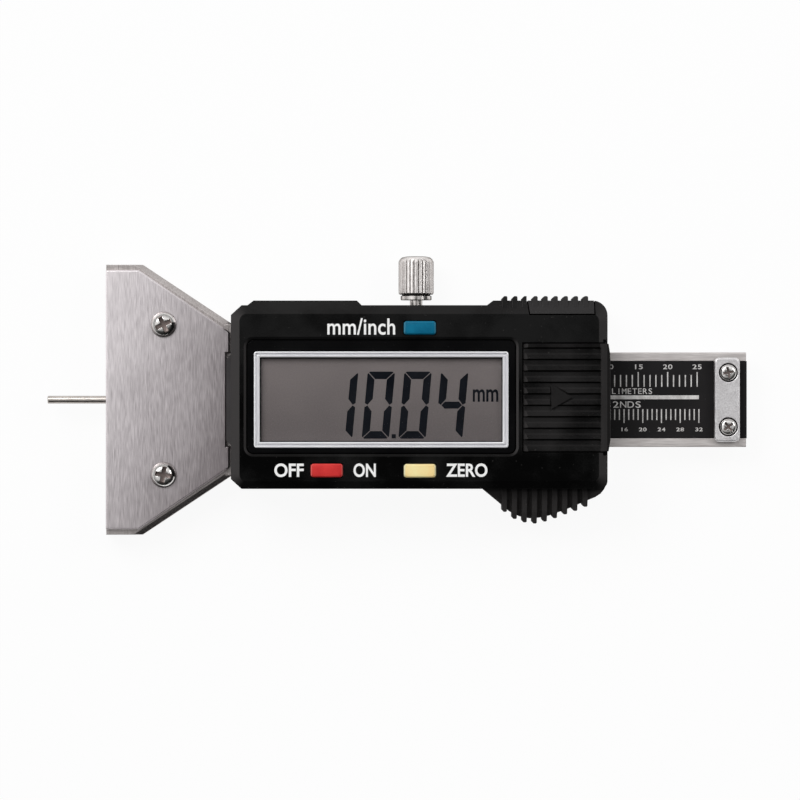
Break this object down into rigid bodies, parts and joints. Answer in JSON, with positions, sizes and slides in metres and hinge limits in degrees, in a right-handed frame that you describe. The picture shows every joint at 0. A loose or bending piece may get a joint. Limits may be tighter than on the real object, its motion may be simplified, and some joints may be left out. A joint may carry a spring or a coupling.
{
  "type": "digital tire tread depth gauge",
  "caption": "Digital tread depth gauge: trapezoid measuring base, thin probe on a sliding beam with a printed scale, black display housing with buttons and a lock screw.",
  "frame": {"origin": "centre of the measuring face of the base, on the axis of the probe", "axes": "+X along the beam, from the measuring face towards the end stop; +Y across the beam towards the lock screw; +Z out of the display"},
  "size_m": [0.1187, 0.0472, 0.0151],
  "materials": {
    "machined_steel": "milled, fine lines",
    "brushed_plate": "brushed across the beam",
    "probe_steel": "ground",
    "beam_steel": "satin",
    "screw_steel": "bright plating",
    "knob_metal": "satin plating",
    "inner_steel": "plain",
    "gib_bronze": "plain",
    "pad_brass": "plain",
    "spring_metal": "plated strip",
    "board_green": "lacquered laminate",
    "label_black": "printed film",
    "black_plastic": "fine moulded texture",
    "carrier_plastic": "fine moulded texture",
    "gloss_black": "polished",
    "silver_plastic": "silver lacquer",
    "display_grey": "reflective liquid crystal",
    "clear_window": "clear",
    "rubber_black": "soft",
    "resin_black": "cast resin",
    "connector_plastic": "moulded",
    "button_blue": "semi-gloss",
    "button_red": "semi-gloss",
    "button_yellow": "semi-gloss",
    "cell_case": "plated can"
  },
  "bodies": {
    "gauge_body": {"slider_frame": "machined_steel", "base_front_plate": "brushed_plate", "base_screws": "screw_steel", "gib_strip": "gib_bronze", "gib_screws": "inner_steel", "circuit_board": "board_green", "processor_blob": "resin_black", "sensor_carrier": "carrier_plastic", "switch_domes": "spring_metal", "port_connector": "connector_plastic", "display_glass": "display_grey", "contact_strips": "rubber_black", "display_window": "clear_window", "window_frame": "silver_plastic", "window_surround": "gloss_black", "housing": "black_plastic", "housing_screws": "inner_steel", "battery_cell": "cell_case", "negative_contact": "spring_metal", "positive_contact": "spring_metal"},
    "beam_unit": {"beam": "beam_steel", "probe_rod": "probe_steel", "grid_board": "board_green", "scale_label": "label_black", "end_stop": "beam_steel", "end_stop_screws": "screw_steel"},
    "lock_tip": {"lock_pad": "pad_brass"},
    "lock_knob": {"lock_screw": "knob_metal"},
    "unit_key": {"unit_button": "button_blue"},
    "power_key": {"power_button": "button_red"},
    "zero_key": {"zero_button": "button_yellow"},
    "cell_door": {"battery_cover": "black_plastic"},
    "port_door": {"port_cover": "black_plastic"}
  },
  "joints": [
    {"name": "beam_slide", "type": "slide", "parent": "gauge_body", "child": "beam_unit", "axis": [-1, 0, 0], "range_m": [-0.01004, 0.01536]},
    {"name": "lock_travel", "type": "slide", "parent": "gauge_body", "child": "lock_tip", "axis": [0, -1, 0], "range_m": [-0.0009, 0.00022]},
    {"name": "lock_turn", "type": "hinge", "parent": "lock_tip", "child": "lock_knob", "pos_m": [0.0526, 0.02, 0], "axis": [0, -1, 0], "range_deg": [-721, 181]},
    {"name": "unit_press", "type": "slide", "parent": "gauge_body", "child": "unit_key", "axis": [0, 0, -1], "range_m": [0, 0.0005], "stiffness_N_per_m": 1500, "springref_m": -0.0006},
    {"name": "power_press", "type": "slide", "parent": "gauge_body", "child": "power_key", "axis": [0, 0, -1], "range_m": [0, 0.0005], "stiffness_N_per_m": 1500, "springref_m": -0.0006},
    {"name": "zero_press", "type": "slide", "parent": "gauge_body", "child": "zero_key", "axis": [0, 0, -1], "range_m": [0, 0.0005], "stiffness_N_per_m": 1500, "springref_m": -0.0006},
    {"name": "cell_door_slide", "type": "slide", "parent": "gauge_body", "child": "cell_door", "axis": [1, 0, 0], "range_m": [0, 0.0145]},
    {"name": "port_door_pull", "type": "slide", "parent": "gauge_body", "child": "port_door", "axis": [0, 1, 0], "range_m": [0, 0.006]}
  ],
  "couplings": [
    {"joint": "lock_turn", "follows": "lock_travel", "rad_per_m": 13963}
  ]
}
